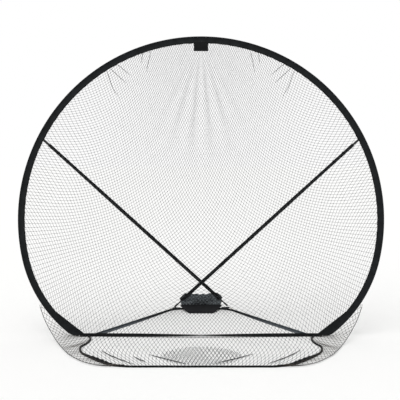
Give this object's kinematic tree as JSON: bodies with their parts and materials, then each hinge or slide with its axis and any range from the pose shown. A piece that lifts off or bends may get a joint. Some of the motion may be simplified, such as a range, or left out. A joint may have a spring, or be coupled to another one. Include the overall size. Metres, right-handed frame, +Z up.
{
  "type": "golf chipping net",
  "caption": "Large free-standing golf chipping net: a round sprung hoop, a ground loop, a net bag with a front apron, and two crossed fold-out braces.",
  "frame": {"origin": "centre of the overall box on the ground", "axes": "+X to the right as a player faces the mouth, +Y to the rear, +Z up"},
  "size_m": [2.134, 1.333, 1.7406],
  "materials": {
    "sleeve_fabric": "matt woven polyester",
    "webbing": "matt black webbing",
    "netting": "dark grey knotless twine",
    "pocket_fabric": "matt slate polyester",
    "spring_steel": "oiled spring steel",
    "fibreglass": "satin black pultruded rod",
    "plastic": "moulded black",
    "elastic_cord": "pale woven elastic cord"
  },
  "bodies": {
    "ground": {"ground_spring": "spring_steel", "ground_sleeve": "sleeve_fabric", "ferrule_left": "spring_steel", "ferrule_right": "spring_steel", "corner_boot_left": "webbing", "corner_boot_right": "webbing", "mouth_strap": "webbing", "front_hem": "webbing", "side_hem_left": "webbing", "side_hem_right": "webbing", "bag_net": "netting", "floor_net": "netting", "pouch_net_left": "netting", "pouch_net_right": "netting", "pocket_floor": "pocket_fabric", "pocket_panel": "pocket_fabric", "tip_tab_left": "webbing", "tip_tab_right": "webbing", "tab_cord_left": "elastic_cord", "tab_cord_right": "elastic_cord"},
    "hoop": {"hoop_spring": "spring_steel", "hoop_sleeve": "sleeve_fabric", "lower_sleeve_left": "sleeve_fabric", "lower_sleeve_right": "sleeve_fabric", "label": "webbing", "brace_anchor_left": "webbing", "brace_anchor_right": "webbing"},
    "brace_left": {"brace_head_left": "plastic", "brace_pin_left": "spring_steel", "rod_upper_left": "fibreglass", "rod_middle_left": "fibreglass", "rod_lower_left": "fibreglass", "rod_joints_left": "spring_steel", "shock_cord_left": "elastic_cord", "brace_sleeve_left": "webbing", "brace_tip_left": "plastic", "brace_tie_left": "webbing"},
    "brace_right": {"brace_head_right": "plastic", "brace_pin_right": "spring_steel", "rod_upper_right": "fibreglass", "rod_middle_right": "fibreglass", "rod_lower_right": "fibreglass", "rod_joints_right": "spring_steel", "shock_cord_right": "elastic_cord", "brace_sleeve_right": "webbing", "brace_tip_right": "plastic", "brace_tie_right": "webbing"}
  },
  "joints": [
    {"name": "hoop_fold", "type": "hinge", "parent": "ground", "child": "hoop", "pos_m": [0, -0.07439, 0.0061], "axis": [1, 0, 0], "range_deg": [-80, 0], "stiffness_Nm_per_rad": 12, "springref_deg": 20.05, "deforming": ["bag_net", "pouch_net_left", "pouch_net_right"]},
    {"name": "brace_left_swing", "type": "hinge", "parent": "hoop", "child": "brace_left", "pos_m": [-0.92094, 0.05472, 1.13881], "axis": [1, 0, 0], "range_deg": [0, 140]},
    {"name": "brace_right_swing", "type": "hinge", "parent": "hoop", "child": "brace_right", "pos_m": [0.92094, 0.05472, 1.13881], "axis": [1, 0, 0], "range_deg": [0, 140]}
  ],
  "couplings": [
    {"joint": "brace_left_swing", "follows": "hoop_fold", "ratio": -1.75},
    {"joint": "brace_right_swing", "follows": "hoop_fold", "ratio": -1.75}
  ]
}
